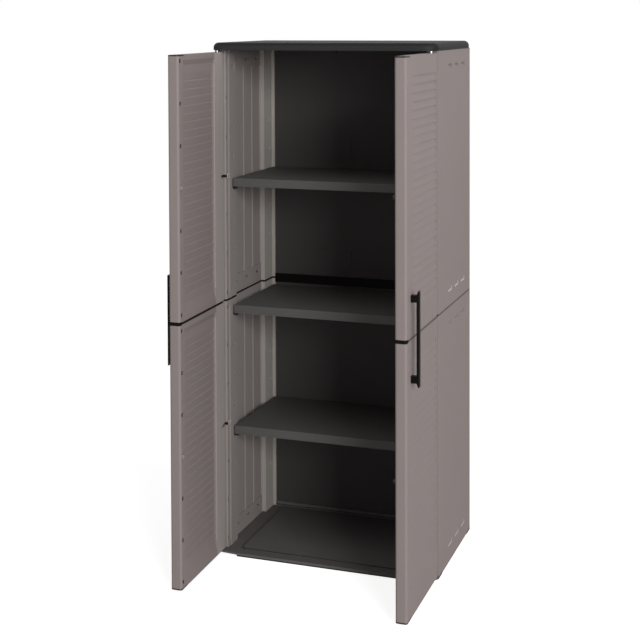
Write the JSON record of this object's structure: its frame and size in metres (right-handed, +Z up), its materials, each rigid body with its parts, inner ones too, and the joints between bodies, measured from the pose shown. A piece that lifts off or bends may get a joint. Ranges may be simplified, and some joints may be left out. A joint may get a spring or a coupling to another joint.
{
  "type": "garden storage cabinet",
  "caption": "Tall resin storage cabinet with louvred hinged doors, fluted inner walls, adjustable shelves, a rounded lid and a low base tray.",
  "frame": {"origin": "centre of the underside of the base tray, on the floor", "axes": "+X to the right door, +Y to the back of the cabinet, +Z up"},
  "size_m": [0.7809, 0.8021, 1.645],
  "materials": {
    "wall_resin": "taupe blow-moulded resin, fine grain",
    "door_resin": "taupe moulded resin, fine grain",
    "dark_resin": "dark grey moulded resin",
    "panel_resin": "dark extruded sheet",
    "black_resin": "black moulded resin",
    "handle_resin": "black satin resin",
    "steel": "plain zinc-plated steel"
  },
  "bodies": {
    "cabinet": {"back_panel_lower": "panel_resin", "back_panel_upper": "panel_resin", "base_tray": "black_resin", "clip_screws_left": "steel", "clip_screws_right": "steel", "hinge_clip_lower_left": "black_resin", "hinge_clip_lower_right": "black_resin", "hinge_clip_upper_left": "black_resin", "hinge_clip_upper_right": "black_resin", "lid": "dark_resin", "lid_catch": "black_resin", "rear_beam": "black_resin", "seam_plate_left": "black_resin", "seam_plate_right": "black_resin", "shelf_lower": "dark_resin", "shelf_middle": "dark_resin", "shelf_pegs_lower": "black_resin", "shelf_pegs_middle": "black_resin", "shelf_pegs_upper": "black_resin", "shelf_upper": "dark_resin", "wall_lower_left": "wall_resin", "wall_lower_right": "wall_resin", "wall_upper_left": "wall_resin", "wall_upper_right": "wall_resin"},
    "door_left": {"clip_pin_lower_left": "steel", "clip_pin_upper_left": "steel", "door_cap_bottom_left": "black_resin", "door_cap_top_left": "black_resin", "door_joiner_left": "black_resin", "door_panel_lower_left": "door_resin", "door_panel_upper_left": "door_resin", "handle_left": "handle_resin", "knob_lower_left": "black_resin", "knob_upper_left": "black_resin", "pin_bottom_left": "steel", "pin_middle_left": "steel", "pin_top_left": "steel"},
    "door_right": {"clip_pin_lower_right": "steel", "clip_pin_upper_right": "steel", "door_cap_bottom_right": "black_resin", "door_cap_top_right": "black_resin", "door_joiner_right": "black_resin", "door_panel_lower_right": "door_resin", "door_panel_upper_right": "door_resin", "handle_right": "handle_resin", "knob_lower_right": "black_resin", "knob_upper_right": "black_resin", "pin_bottom_right": "steel", "pin_middle_right": "steel", "pin_top_right": "steel"}
  },
  "joints": [
    {"name": "right_door_hinge", "type": "hinge", "parent": "cabinet", "child": "door_right", "pos_m": [0.3505, -0.2165, 0.8145], "axis": [0, 0, 1], "range_deg": [-90, 20]},
    {"name": "left_door_hinge", "type": "hinge", "parent": "cabinet", "child": "door_left", "pos_m": [-0.3505, -0.2165, 0.8145], "axis": [0, 0, 1], "range_deg": [-21, 89]}
  ]
}
